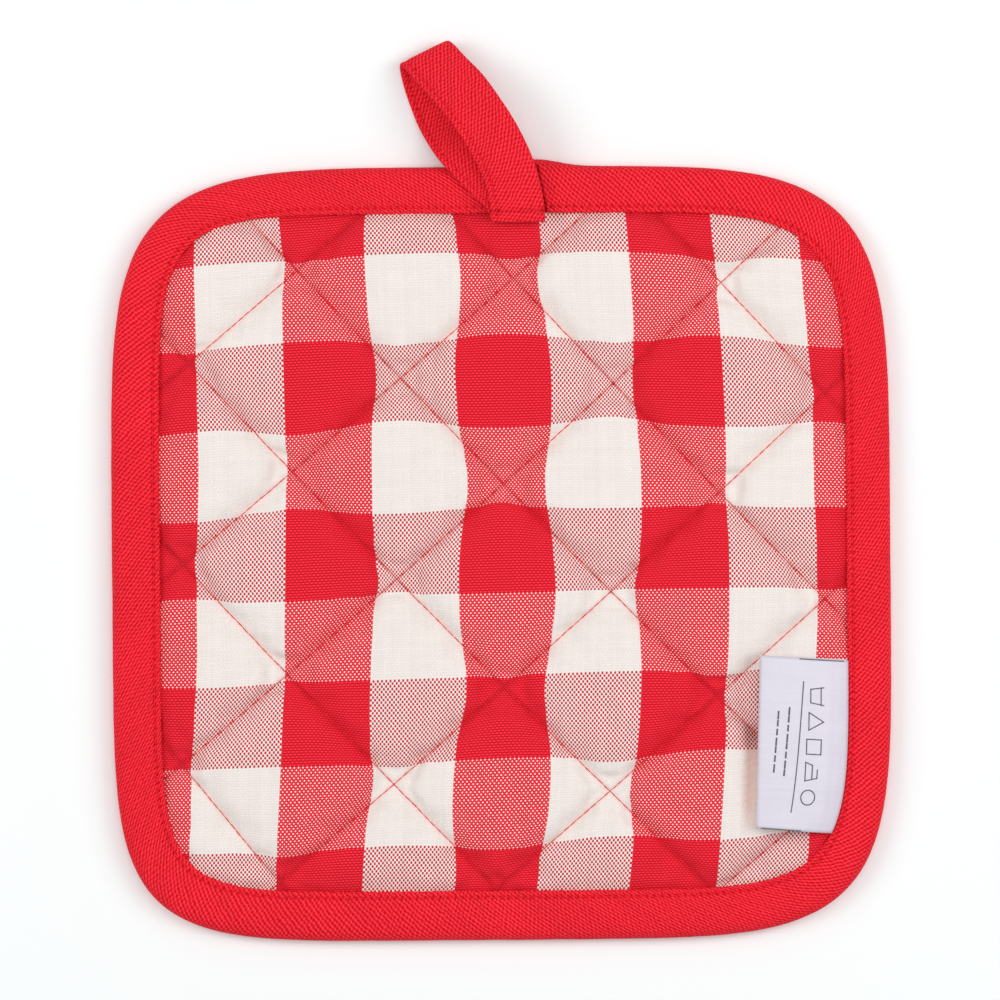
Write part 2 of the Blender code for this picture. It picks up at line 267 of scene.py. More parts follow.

# Marks printed on the label, in millimetres from its fold and from its top edge: a rule, a row of
# laundry signs beside it and two rows of plain dashes. Dark lines along parts of its two open
# edges stand for its sealed edge and the painted shadow of the gap between its layers.
MARK_WIDTH = 0.3
SEALED_AND_SHADED_EDGES = (
    (9.6, 0.1, 21.4, 0.1),
    (0.3, LABEL_LENGTH - 0.1, 12.4, LABEL_LENGTH - 0.1),
)
RULE = (10.6, 6.0, 8.6, 40.0)
SIGNS_ACROSS = 14.6
SIGNS_FROM = 9.6
SIGNS_STEP = 6.6
SIGN_SIZE = 4.6
SIGNS = (
    (((-0.5, -0.35), (-0.38, 0.4), (0.38, 0.4), (0.5, -0.35)), ((-0.5, -0.2), (0.5, -0.2))),
    (((0.0, -0.45), (0.5, 0.4), (-0.5, 0.4), (0.0, -0.45)),),
    (((-0.42, -0.42), (0.42, -0.42), (0.42, 0.42), (-0.42, 0.42), (-0.42, -0.42)),),
    (
        ((-0.55, 0.35), (-0.4, -0.05), (0.4, -0.05), (0.5, 0.35), (-0.55, 0.35)),
        ((-0.15, -0.35), (0.33, -0.35), (0.4, -0.05)),
    ),
    (tuple(
        (0.42 * math.cos(math.pi * turn / 10), 0.42 * math.sin(math.pi * turn / 10))
        for turn in range(21)
    ),),
)
DashRow = namedtuple("DashRow", "across start end dashes")
DASH_ROWS = (DashRow(7.4, 13.0, 31.6, 8), DashRow(4.6, 14.2, 30.4, 7))


def colour_setting(name, description, default):
    return FloatVectorProperty(
        name=name, description=description, default=default, size=3, min=0.0, max=1.0,
        subtype="COLOR",
    )


def length_setting(name, description, default, low, high):
    return FloatProperty(
        name=name, description=description, default=default, min=low, max=high, unit="LENGTH",
        precision=5,
    )


class PotHolderQuilt(bpy.types.PropertyGroup):
    """Sizes and colours of the gingham pad and its quilting."""

    pressure: FloatProperty(
        name="Filling pressure", description="How hard the wadding pushes the cloth up",
        default=3.0, min=0.0, max=20.0,
    )
    ease: FloatProperty(
        name="Ease", description="Extra cloth sewn into each puff, as a share of its length",
        default=0.05, min=0.0, max=0.2, subtype="FACTOR",
    )
    pucker: length_setting(
        "Pucker", "Height of the small pleats along the stitching",
        0.00026, 0.0, 0.001,
    )
    red: colour_setting("Red yarn", "Colour of the red yarn", (0.93, 0.018, 0.041))
    cream: colour_setting("Cream yarn", "Colour of the undyed yarn", (0.853, 0.788, 0.754))
    ends: IntProperty(
        name="Ends", description="Lengthwise yarns in one stripe", default=46, min=2, max=200,
    )
    picks: IntProperty(
        name="Picks", description="Crosswise yarns in one stripe", default=35, min=2, max=200,
    )
    stitch: length_setting("Stitch length", "Length of one quilting stitch", 0.0023, 0.0005, 0.01)
    thread: length_setting("Thread", "Thickness of the quilting thread", 0.00028, 0.0001, 0.001)
    thread_red: colour_setting("Thread red", "Colour of the sewing thread", (0.72, 0.03, 0.05))


class PotHolderTape(bpy.types.PropertyGroup):
    """Sizes and colours of the bias tape that makes the binding and the hanging loop."""

    red: colour_setting("Tape red", "Colour of the tape", (0.93, 0.018, 0.038))
    ribs: FloatVectorProperty(
        name="Ribs", description="Ribs in a metre along and a metre across the tape",
        default=(-667.0, 925.0), size=2,
    )
    picks: FloatVectorProperty(
        name="Picks", description="Crosswise yarns in a metre along and a metre across the tape",
        default=(-945.0, -105.0), size=2,
    )
    groove: length_setting(
        "Groove", "How deep a row of stitching lies in the tape",
        0.00022, 0.0, 0.001,
    )
    hole: length_setting(
        "Needle hole", "How much deeper the tape dips where the needle went in",
        0.0003, 0.0, 0.001,
    )


class PotHolderLabel(bpy.types.PropertyGroup):
    """Sizes and colours of the folded label."""

    ribbon: colour_setting("Ribbon", "Colour of the satin ribbon", (0.72, 0.688, 0.785))
    ink: colour_setting("Ink", "Colour of the printed marks", (0.13, 0.14, 0.16))
    thickness: length_setting("Thickness", "Thickness of the ribbon", 0.00035, 0.0001, 0.001)


class PotHolderStage(bpy.types.PropertyGroup):
    """The table, the light and the camera."""

    table: colour_setting("Table", "Colour of the table", (0.925, 0.95, 0.95))
    sky: FloatProperty(
        name="Room light", description="Strength of the even light from all round",
        default=0.435, min=0.0, max=10.0,
    )
    key: FloatProperty(
        name="Overhead light", description="Power of the large soft light overhead",
        default=3.7, min=0.0, max=500.0, subtype="POWER",
    )
    sides: FloatProperty(
        name="Side lights", description="Power of each of the two soft lights at the sides",
        default=3.1, min=0.0, max=500.0, subtype="POWER",
    )
    camera_height: length_setting(
        "Camera height", "Height of the camera above the table",
        2.0, 0.3, 10.0,
    )
    view_width: length_setting(
        "View width", "Width of table that the camera takes in",
        0.2605, 0.05, 2.0,
    )


class PotHolder(bpy.types.PropertyGroup):
    """Everything a user may change."""

    quilt: PointerProperty(type=PotHolderQuilt)
    tape: PointerProperty(type=PotHolderTape)
    label: PointerProperty(type=PotHolderLabel)
    stage: PointerProperty(type=PotHolderStage)


# Outline and quilting


def edge_radius(edge, angle):
    """Distance from the middle to a rounded square's edge."""
    turned = angle - math.radians(EDGE_TURN)
    cosine = math.cos(turned)
    sine = math.sin(turned)
    half_width = edge.right if cosine >= 0 else edge.left
    half_height = edge.top if sine >= 0 else edge.bottom
    if sine >= 0:
        power = edge.top_right if cosine >= 0 else edge.top_left
    else:
        power = edge.bottom_right if cosine >= 0 else edge.bottom_left
    reach = abs(cosine / half_width) ** power + abs(sine / half_height) ** power
    return reach ** (-1 / power)


def border_point(angle, inset, height):
    """A point at an angle, inset 0 on the outer edge and 1 on the binding's inner edge."""
    outer = edge_radius(OUTER_EDGE, angle)
    radius = outer + (edge_radius(INNER_EDGE, angle) - outer) * inset
    return Vector((radius * math.cos(angle), radius * math.sin(angle), height))


def inset_at(x, y):
    angle = math.atan2(y, x)
    outer = edge_radius(OUTER_EDGE, angle)
    return (outer - math.hypot(x, y)) / (outer - edge_radius(INNER_EDGE, angle))


def even_angles(count):
    """Angles of stations that lie evenly along the outer edge."""
    fine = 12 * count
    angles = [2 * math.pi * step / fine for step in range(fine + 1)]
    points = [border_point(angle, 0.0, 0.0) for angle in angles]
    lengths = [0.0]
    for before, after in zip(points, points[1:]):
        lengths.append(lengths[-1] + (after - before).length)
    stations = []
    place = 0
    for station in range(count):
        wanted = lengths[-1] * station / count
        while lengths[place + 1] < wanted:
            place += 1
        part = (wanted - lengths[place]) / (lengths[place + 1] - lengths[place])
        stations.append(angles[place] + (angles[place + 1] - angles[place]) * part)
    return stations


def sag(x):
    return QUILT_SAG * (x / QUILT_SAG_AT) ** 2


def line_normal(line):
    direction = math.radians(line.direction)
    return Vector((-math.sin(direction), math.cos(direction), 0.0))


NORMALS = {line: line_normal(line) for line in (*FALLING_LINES, *RISING_LINES)}


def beyond(line, x, y):
    """How far a point lies past a quilting line, with the sag taken out."""
    normal = NORMALS[line]
    return normal.x * x + normal.y * (y - sag(x)) - line.distance


def shoulder(lines, x, y):
    """0 on a quilting line, rising steeply to 1 on top of the puff."""
    for near, far in zip(lines, lines[1:]):
        below_near = -beyond(near, x, y)
        above_far = beyond(far, x, y)
        if below_near >= 0 and above_far >= 0:
            return (1 - math.exp(-below_near / SHOULDER)) * (1 - math.exp(-above_far / SHOULDER))
    return 0.0


def puff_at(x, y):
    """0 on the quilting and at the binding, 1 on top of a puff."""
    border = max(inset_at(x, y) - 1.0, 0.0) * BINDING_WIDTH
    rise = 1 - math.exp(-border / BORDER_SHOULDER)
    return rise * shoulder(FALLING_LINES, x, y) * shoulder(RISING_LINES, x, y)


def cut_lines(lines):
    """Every quilting line, and the lines between them that shape the puffs."""
    cuts = []
    for near, far in zip(lines, lines[1:]):
        for share in (0.0, *PUFF_CUTS):
            distance = near.distance + (far.distance - near.distance) * share
            direction = near.direction + (far.direction - near.direction) * share
            cuts.append(QuiltLine(distance, direction))
    return cuts


def stripe_map(x, y):
    """Where a point of the sewn pad lies on the gingham, counted in stripes."""
    east = x
    north = y
    for line in SEWN_LINES:
        past = beyond(line, x, y)
        drawn = math.copysign(TAKE_UP * (1 - math.exp(-abs(past) / TAKE_UP_REACH)), past)
        east += NORMALS[line].x * drawn
        north += NORMALS[line].y * drawn
    x /= 100
    y /= 100
    across, down = STRIPES_ACROSS, STRIPES_DOWN
    east += across.lean * y + across.bow * y * y + across.spread * x * y * y + across.skew * x * y
    north += down.lean * x + down.bow * x * x + down.spread * x * x * y + down.skew * x * y
    return (
        MIDDLE_STRIPE + (east - across.middle) / across.width,
        MIDDLE_STRIPE - (north - down.middle) / down.width,
    )


# Meshes and objects


def to_object(mesh, name, finish, scale=MM):
    """Make an object of a bmesh drawn in millimetres."""
    bmesh.ops.scale(mesh, vec=(scale, scale, scale), verts=mesh.verts)
    data = bpy.data.meshes.new(name)
    mesh.to_mesh(data)
    mesh.free()
    data.materials.append(finish)
    data.shade_smooth()
    piece = bpy.data.objects.new(name, data)
    bpy.context.scene.collection.objects.link(piece)
    return piece


def carry_to_ring(verts, inset, height):
    """Move points straight out from the middle to a ring round it."""
    for vert in verts:
        vert.co = border_point(math.atan2(vert.co.y, vert.co.x), inset, height)


def corners(parts):
    return {vert for part in parts for vert in part.verts}


def put_in_order(mesh):
    """Number edges and faces by their points, so that the cloth settles alike in every run."""
    mesh.verts.index_update()
    count = len(mesh.verts)

    def rank(part):
        low, middle, *rest = sorted(vert.index for vert in part.verts)
        return (low * count + middle) * count + (rest[0] if rest else 0)

    mesh.edges.sort(key=rank)
    mesh.faces.sort(key=rank)


def boundary(faces):
    """Edges on the rim of an open sheet, in the same order each run."""
    edges = dict.fromkeys(edge for face in faces for edge in face.edges)
    return [edge for edge in edges if edge.is_boundary]


def cloth_grid(columns, rows, place, lie, hole=None):
    """A woven strip: a grid of columns and rows, each point put by place(column, row), with a UV
    map that keeps lie(column, row), its place on the flat cloth. hole(column, row) says how far
    a point lies in a needle hole, kept as the amount of shade painted there."""
    mesh = bmesh.new()
    flat = mesh.loops.layers.uv.new("cloth")
    depth = mesh.verts.layers.float.new("hole")
    bmesh.ops.create_grid(mesh, x_segments=columns, y_segments=rows, size=1.0)
    spot = {
        vert: (round((vert.co.x + 1) / 2 * columns), round((vert.co.y + 1) / 2 * rows))
        for vert in mesh.verts
    }
    for face in mesh.faces:
        for loop in face.loops:
            loop[flat].uv = lie(*spot[loop.vert])
    for vert, (column, row) in spot.items():
        vert.co = place(column, row)
        vert[depth] = hole(column, row) if hole else 0.0
    return mesh


def applied(piece):
    """Leave the piece as its modifiers make it."""
    graph = bpy.context.evaluated_depsgraph_get()
    made = bpy.data.meshes.new_from_object(piece.evaluated_get(graph))
    piece.modifiers.clear()
    old = piece.data
    piece.data = made
    bpy.data.meshes.remove(old)


def one_stitch():
    """The shape of every stitch: a plump thread of unit length and thickness along X."""
    mesh = bmesh.new()
    turn = Matrix.Rotation(math.pi / 2, 4, "Y")
    bmesh.ops.create_uvsphere(mesh, u_segments=6, v_segments=6, radius=0.5, matrix=turn)
    data = bpy.data.meshes.new("stitch")
    mesh.to_mesh(data)
    mesh.free()
    return data


def sew(mesh, shape, start, end, thickness):
    """Add one stitch from hole to hole."""
    along = end - start
    turn = along.to_track_quat("X", "Z").to_matrix().to_4x4()
    size = Matrix.Diagonal((along.length * 1.06, thickness, thickness, 1.0))
    stitch = shape.copy()
    stitch.transform(Matrix.Translation((start + end) / 2) @ turn @ size)
    mesh.from_mesh(stitch)
    bpy.data.meshes.remove(stitch)


def thread_object(name, colour, stitches):
    """An object of stitches, each from hole to hole with its thickness."""
    mesh = bmesh.new()
    shape = one_stitch()
    for start, end, thickness in stitches:
        sew(mesh, shape, start, end, thickness)
    return to_object(mesh, name, thread_finish(colour, name))


def place_in_frame(piece, node):
    """The piece rides on the object's one body and stands for its CAD node."""
    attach(piece, "root")
    if node:
        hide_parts(node)


# Materials


def new_finish(name, roughness, sheen=0.0):
    finish = bpy.data.materials.new(name)
    finish.use_nodes = True
    shader = finish.node_tree.nodes["Principled BSDF"]
    shader.inputs["Roughness"].default_value = roughness
    shader.inputs["Specular IOR Level"].default_value = 0.1
    shader.inputs["Sheen Weight"].default_value = sheen
    shader.inputs["Sheen Roughness"].default_value = 0.5
    return finish, finish.node_tree, shader


def add_node(tree, kind, output, inputs, **choices):
    """Add a shader node, link or set its inputs, and give one of its outputs."""
    node = tree.nodes.new("ShaderNode" + kind)
    for name, choice in choices.items():
        setattr(node, name, choice)
    for name, value in inputs.items():
        if isinstance(value, bpy.types.NodeSocket):
            tree.links.new(value, node.inputs[name])
        else:
            node.inputs[name].default_value = value
    return node.outputs[output]


def calc(tree, operation, *values):
    """A Math node on sockets or numbers."""
    return add_node(tree, "Math", 0, dict(enumerate(values)), operation=operation)


def plus(tree, first, second):
    return calc(tree, "ADD", first, second)


def minus(tree, first, second):
    return calc(tree, "SUBTRACT", first, second)


def times(tree, first, second):
    return calc(tree, "MULTIPLY", first, second)


def blend_colour(tree, share, first, second):
    """Two colours mixed by a share, from sockets or values."""
    first, second = (
        colour if isinstance(colour, bpy.types.NodeSocket) else (*colour, 1.0)
        for colour in (first, second)
    )
    return add_node(tree, "Mix", 2, {0: share, 6: first, 7: second}, data_type="RGBA")


def one_colour(tree, colour):
    return blend_colour(tree, 0.0, colour, colour)


def shade_colour(tree, colour, amount):
    """A colour made lighter or darker by an amount."""
    return add_node(tree, "VectorMath", 0, {0: colour, "Scale": amount}, operation="SCALE")


def ranged(tree, value, low, high, to_low, to_high):
    ends = {"From Min": low, "From Max": high, "To Min": to_low, "To Max": to_high}
    return add_node(tree, "MapRange", "Result", {"Value": value, **ends})


def cloth_coordinates(tree, scale):
    """The two cloth directions of the piece's own map, scaled to count yarns."""
    flat = add_node(tree, "UVMap", "UV", {}, uv_map="cloth")
    vector = add_node(tree, "Mapping", 0, {"Vector": flat, "Scale": (scale, scale, 1.0)})
    across, down = (add_node(tree, "SeparateXYZ", axis, {0: vector}) for axis in "XY")
    return across, down, vector


def object_coordinates(tree):
    return add_node(tree, "TexCoord", "Object", {})


def uneven(tree, vector, scale, low, high):
    """Slow light and dark variation."""
    cloudy = {"Vector": vector, "Scale": scale, "Detail": 2.0}
    return ranged(tree, add_node(tree, "TexNoise", "Fac", cloudy), 0.25, 0.75, low, high)


def yarn_tone(tree, number, low, high, seed):
    """A tone of its own for every yarn."""
    spot = {"W": plus(tree, number, seed)}
    tone = add_node(tree, "TexWhiteNoise", "Value", spot, noise_dimensions="1D")
    return ranged(tree, tone, 0.0, 1.0, low, high)


def plain_weave(tree, warp, weft, slim=0.0):
    """Over-and-under of a plain weave, the weft crossings made smaller by slim. Gives the share
    of weft showing, the height of the warp and of the weft, and the numbers of the two yarns."""
    warp_number = calc(tree, "FLOOR", warp)
    weft_number = calc(tree, "FLOOR", weft)
    under = calc(tree, "PINGPONG", plus(tree, warp_number, weft_number), 1.0)
    across = minus(tree, calc(tree, "FRACT", warp), 0.5)
    along = minus(tree, calc(tree, "FRACT", weft), 0.5)
    across_2 = times(tree, across, across)
    along_2 = times(tree, along, along)
    reach = plus(tree, across_2, along_2)
    shown = ranged(tree, plus(tree, reach, slim), 0.15, 0.23, 1.0, 0.0)
    shows = times(tree, shown, under)
    weft_height = minus(tree, 0.95, times(tree, reach, 2.8))
    over_height = minus(tree, 1.0, times(tree, across_2, 1.2))
    over_height = minus(tree, over_height, times(tree, along_2, 2.6))
    dip = ranged(tree, under, 0.0, 1.0, 1.0, 0.4)
    return shows, times(tree, over_height, dip), weft_height, warp_number, weft_number


def yarn_colour(tree, colour, height, low, high):
    """A yarn's colour from the painted shade beside it, low, to the painted highlight on its
    crown, high, as shares of its red, green and blue."""
    tint = blend_colour(tree, ranged(tree, height, 0.15, 0.95, 0.0, 1.0), low, high)
    return add_node(tree, "VectorMath", 0, {0: colour, 1: tint}, operation="MULTIPLY")


def tint_where(tree, colour, name, tint):
    """A colour tinted, as painted shade, by how much of a named property each point has."""
    amount = add_node(tree, "Attribute", "Fac", {}, attribute_name=name)
    return yarn_colour(tree, colour, minus(tree, 1.0, amount), tint, UNTINTED)


def raise_yarns(tree, shader, height, distance, strength):
    raised = {"Height": height, "Distance": distance, "Strength": strength}
    tree.links.new(add_node(tree, "Bump", "Normal", raised), shader.inputs["Normal"])


def gingham_finish(quilt):
    """Yarn-dyed gingham: red and cream stripes of warp, crossed by the same of weft."""
    finish, tree, shader = new_finish("gingham", 0.9, sheen=0.02)
    across, down, vector = cloth_coordinates(tree, STRIPES_IN_MAP)
    warp = times(tree, across, float(quilt.ends))
    weft = times(tree, down, float(quilt.picks))
    cream_warp, cream_weft = (
        calc(tree, "PINGPONG", calc(tree, "FLOOR", stripe), 1.0) for stripe in (across, down)
    )
    slim = times(tree, cream_weft, SLIM_CREAM_WEFT)
    slim = minus(tree, slim, times(tree, cream_warp, SLIM_CREAM_WARP))
    slim = plus(tree, slim, uneven(tree, vector, 110.0, -0.06, 0.06))
    shows, warp_height, weft_height, warp_number, weft_number = plain_weave(tree, warp, weft, slim)
    # Ribs: painted shade between the rows of picks, with uneven lumps.
    rib = calc(tree, "COSINE", times(tree, weft, 2 * math.pi))
    rib = times(tree, rib, -0.3)
    rib = plus(tree, rib, uneven(tree, vector, 320.0, -0.3, 0.2))
    yarns = []
    # The weft's tints are darker, as painted shade, since it lies deeper.
    for cream, height, number, seed, depth in (
        (cream_warp, warp_height, warp_number, 3.7, WARP_SHADE),
        (cream_weft, weft_height, weft_number, 91.3, WEFT_SHADE),
    ):
        low, high = (tuple(depth * share for share in tint) for tint in (RED_SHADED, RED_HIGHLIT))
        ribbed = plus(tree, height, rib)
        red = yarn_colour(tree, one_colour(tree, quilt.red), ribbed, low, high)
        # Painted shade in the seams, along the binding's inner edge and in the hollow by the
        # label.
        red = tint_where(tree, red, "painted_shade", RED_PAINTED_SHADE)
        pale = yarn_colour(tree, one_colour(tree, quilt.cream), height, CREAM_SHADED, CREAM_HIGHLIT)
        pale = tint_where(tree, pale, "painted_shade", CREAM_PAINTED_SHADE)
        yarn = blend_colour(tree, cream, red, pale)
        yarns.append(shade_colour(tree, yarn, yarn_tone(tree, number, 0.965, 1.025, seed)))
    colour = blend_colour(tree, shows, *yarns)
    colour = shade_colour(tree, colour, uneven(tree, vector, 5.0, 0.98, 1.02))
    tree.links.new(colour, shader.inputs["Base Color"])
    height = calc(tree, "MAXIMUM", warp_height, times(tree, weft_height, shows))
    raise_yarns(tree, shader, height, 0.0001, 0.5)
    return finish


def along_cloth(tree, vector, yarns):
    """Counts yarns along a direction of the cloth's own map."""
    ways = {0: vector, 1: (*yarns, 0.0)}
    counted = add_node(tree, "VectorMath", "Value", ways, operation="DOT_PRODUCT")
    return plus(tree, counted, COUNT_FROM)


def tape_finish(tape):
    """Closely woven cotton tape cut on the bias, ribbed aslant. The map is in metres."""
    finish, tree, shader = new_finish("red_tape", 0.85, sheen=0.02)
    vector = cloth_coordinates(tree, 1.0)[2]
    drift = uneven(tree, vector, 400.0, -0.22, 0.22)
    ribs = plus(tree, along_cloth(tree, vector, tape.ribs), drift)
    picks = plus(tree, along_cloth(tree, vector, tape.picks), drift)
    rib_height, pick_height = (
        calc(tree, "COSINE", times(tree, count, 2 * math.pi)) for count in (ribs, picks)
    )
    height = plus(tree, times(tree, rib_height, 0.36), 0.5)
    height = plus(tree, times(tree, pick_height, 0.18), height)
    height = plus(tree, height, uneven(tree, vector, 1700.0, -0.28, 0.28))
    # Painted shade between the ribs and a painted highlight on their crowns.
    colour = yarn_colour(tree, one_colour(tree, tape.red), height, RED_SHADED, RED_HIGHLIT)
    tone = yarn_tone(tree, calc(tree, "FLOOR", ribs), 0.95, 1.03, 11.9)
    colour = shade_colour(tree, colour, tone)
    colour = shade_colour(tree, colour, uneven(tree, vector, 60.0, 0.96, 1.04))
    # Painted shade in the needle holes, across the loop's end rows and along the binding's join
    # line.
    colour = tint_where(tree, colour, "hole", NEEDLE_HOLE_SHADE)
    tree.links.new(colour, shader.inputs["Base Color"])
    raise_yarns(tree, shader, height, 0.00016, 0.6)
    return finish


def thread_finish(colour, name):
    """Twisted sewing thread."""
    finish, tree, shader = new_finish(name, 0.8)
    spun = {"Vector": object_coordinates(tree), "Scale": 900.0, "Distortion": 1.5}
    twist = add_node(tree, "TexWave", "Fac", spun, bands_direction="DIAGONAL")
    plies = ranged(tree, twist, 0.0, 1.0, 0.82, 1.08)
    shade = shade_colour(tree, one_colour(tree, colour), plies)
    tree.links.new(shade, shader.inputs["Base Color"])
    raise_yarns(tree, shader, twist, 0.00005, 0.4)
    return finish


def ribbon_finish(label):
    """Satin ribbon: fine crosswise ribs with a soft sheen. The map is in metres."""
    finish, tree, shader = new_finish("label_ribbon", 0.42, sheen=0.15)
    shader.inputs["Specular IOR Level"].default_value = 0.4
    across, down, vector = cloth_coordinates(tree, 1.0)
    floats = times(tree, across, 2600.0)
    picks = times(tree, down, 3400.0)
    _, height, _, _, weft_number = plain_weave(tree, floats, picks)
    lit = ranged(tree, height, 0.1, 1.0, 0.93, 1.02)
    colour = shade_colour(tree, one_colour(tree, label.ribbon), lit)
    colour = shade_colour(tree, colour, yarn_tone(tree, weft_number, 0.985, 1.015, 5.3))
    colour = shade_colour(tree, colour, uneven(tree, vector, 160.0, 0.975, 1.02))
    tree.links.new(colour, shader.inputs["Base Color"])
    raise_yarns(tree, shader, height, 0.00004, 0.4)
    return finish


def ink_and_shadow_finish(label):
    """Printed ink, a little worn on the ribs of the ribbon. It also paints the shadow lines along
    the label's open edges.
    """
    finish, tree, shader = new_finish("label_ink_and_painted_shadow", 0.6)
    worn = uneven(tree, object_coordinates(tree), 2600.0, 0.75, 1.45)
    colour = shade_colour(tree, one_colour(tree, label.ink), worn)
    tree.links.new(colour, shader.inputs["Base Color"])
    return finish


# The pad


def quilted_cover():
    """The pad's closed cover: a sheet cut along the quilting, doubled, and joined by its edge."""
    mesh = bmesh.new()
    flat = mesh.loops.layers.uv.new("cloth")
    bmesh.ops.create_circle(mesh, cap_ends=True, segments=RIM_STATIONS, radius=1.0)
    ordered = sorted(mesh.verts, key=lambda vert: math.atan2(vert.co.y, vert.co.x) % (2 * math.pi))
    for vert, angle in zip(ordered, even_angles(RIM_STATIONS)):
        vert.co = border_point(angle, PAD_FACE_INSET, 0.0)
        vert.co.y -= sag(vert.co.x)
    for line in (*cut_lines(FALLING_LINES), *cut_lines(RISING_LINES)):
        normal = line_normal(line)
        everything = [*mesh.verts, *mesh.edges, *mesh.faces]
        bmesh.ops.bisect_plane(
            mesh, geom=everything, dist=0.02, plane_co=normal * line.distance, plane_no=normal
        )
    bmesh.ops.remove_doubles(mesh, verts=mesh.verts, dist=0.22)
    for vert in mesh.verts:
        vert.co.y += sag(vert.co.x)
    carry_to_ring(corners(boundary(mesh.faces)), PAD_FACE_INSET, 0.0)
    if mesh.faces[:][0].normal.z < 0:
        bmesh.ops.reverse_faces(mesh, faces=mesh.faces)

    face_side = list(mesh.faces)
    copied = bmesh.ops.duplicate(mesh, geom=[*mesh.verts, *mesh.edges, *mesh.faces])
    under_side = [item for item in copied["geom"] if isinstance(item, bmesh.types.BMFace)]
    bmesh.ops.reverse_faces(mesh, faces=under_side)
    for vert in corners(face_side):
        vert.co.z = SEAM_TOP + (PUFF_TOP - SEAM_TOP) * PUFF_START * puff_at(vert.co.x, vert.co.y)
    for vert in corners(under_side):
        vert.co.z = SEAM_UNDERSIDE * (1.0 - UNDERSIDE_PUFF * puff_at(vert.co.x, vert.co.y))

    loop = boundary(face_side)
    for ring in PAD_RINGS:
        grown = bmesh.ops.extrude_edge_only(mesh, edges=loop)["geom"]
        loop = [item for item in grown if isinstance(item, bmesh.types.BMEdge)]
        carry_to_ring(corners(loop), ring.inset, ring.height)
    bmesh.ops.remove_doubles(mesh, verts=mesh.verts, dist=0.02)
    bmesh.ops.recalc_face_normals(mesh, faces=mesh.faces)
    put_in_order(mesh)
    for vert in mesh.verts:
        spot = Vector(stripe_map(vert.co.x, vert.co.y)) / STRIPES_IN_MAP
        for corner in vert.link_loops:
            corner[flat].uv = spot
    return mesh


def sewn_down(point):
    """True on the quilting and under the binding."""
    if inset_at(point.x, point.y) < 1.03:
        return True
    return any(abs(beyond(line, point.x, point.y)) < 0.06 for line in SEWN_LINES)


def inflate(cover, quilt):
    """Let the wadding push the sewn cover out, as pressed cloth with a little ease."""
    start = [vert.co.copy() for vert in cover.data.vertices]
    sewn = cover.vertex_groups.new(name="sewn")
    held = [index for index, point in enumerate(start) if sewn_down(point / SIM_SCALE)]
    sewn.add(held, 1.0, "REPLACE")
    cloth = cover.modifiers.new("cloth", "CLOTH")
    cloth.point_cache.frame_start = 1
    cloth.point_cache.frame_end = SIM_FRAMES
    settings = cloth.settings
    settings.quality = 6
    settings.mass = 0.02
    settings.tension_stiffness = 12.0
    settings.compression_stiffness = 12.0
    settings.shear_stiffness = 4.0
    settings.bending_stiffness = 0.4
    settings.air_damping = 2.0
    settings.vertex_group_mass = "sewn"
    settings.use_pressure = True
    settings.uniform_pressure_force = quilt.pressure
    settings.shrink_min = -quilt.ease
    settings.effector_weights.gravity = 0.0
    cloth.collision_settings.use_collision = False
    for number in range(1, SIM_FRAMES + 1):
        bpy.context.scene.frame_set(number)
    graph = bpy.context.evaluated_depsgraph_get()
    blown = [vert.co.copy() for vert in cover.evaluated_get(graph).data.vertices]
    cover.modifiers.clear()
    cover.vertex_groups.clear()
    bpy.context.scene.frame_set(1)
    cap = SIM_CAP * SIM_SCALE
    for vert, before, after in zip(cover.data.vertices, start, blown):
        moved = after - before
        if moved.length > cap:
            moved *= cap / moved.length
        vert.co = before + moved


def pucker_at(x, y):
    """Small pleats that run in from the stitching, from -1 to 1."""
    pleat = 0.0
    for row, line in enumerate(SEWN_LINES):
        past = beyond(line, x, y)
        reach = abs(past)
        if reach > PLEAT_REACH:
            continue
        normal = NORMALS[line]
        along = -normal.y * x + normal.x * y
        side = 3.3 if past > 0 else 9.1
        fade = (1 - math.exp(-reach / 0.9)) * math.exp(-reach / 4.2)
        pleat += fade * noise.noise(Vector((along / 3.4, row * 5.7 + side, reach / 22.0))) * 2.2
        pleat += fade * 0.5 * noise.noise(Vector((along / 1.5, row * 3.1 + side, reach / 9.0)))
        gather = (1 - math.exp(-reach / 0.6)) * math.exp(-reach / 1.6)
        swing = 2.0 * noise.noise(Vector((along / 12.0, row * 1.7 + side, 8.0)))
        pleat += gather * 0.75 * math.sin(2 * math.pi * along / 4.4 + swing)
    border = (inset_at(x, y) - 1.0) * BINDING_WIDTH
    if -1.0 < border < BORDER_PLEAT_REACH:
        angle = math.atan2(y, x)
        fade = math.exp(-max(border, 0.0) / 4.0)
        pleat += fade * noise.noise(Vector((angle * 26.0, border / 16.0, 40.0))) * 1.5
    return pleat


def painted_shade_at(x, y):
    """Painted shade: 1 in the stitching, fading out over the gathered cloth beside it, with a
    painted shadow along the binding's inner edge and in the hollow beside the label, and half
    under the binding.
    """
    if inset_at(x, y) < 1.0:
        return 0.5
    near = min(abs(beyond(line, x, y)) for line in SEWN_LINES)
    border = (inset_at(x, y) - 1.0) * BINDING_WIDTH
    beside = 0.55 * math.exp(-near / 0.5) + 0.07 * math.exp(-near / 2.4)
    return min(beside + 0.55 * math.exp(-border / 1.0) + hollow_at(x, y), 1.0)


def hollow_at(x, y):
    """The hollow in the pad along the free side of the label."""
    across = (x - HOLLOW_X - HOLLOW_LEAN * (y - HOLLOW_Y)) / HOLLOW_REACH
    along = (y - HOLLOW_Y) / HOLLOW_HALF_LENGTH
    return math.exp(-(across ** 2) - along ** 4)


def press_face(rise):
    """Puffs pressed by their wadding: the higher, the more they give."""
    room = PUFF_TOP - SEAM_TOP
    return room * math.tanh(max(rise, 0.0) / room * 1.25) / math.tanh(1.6)


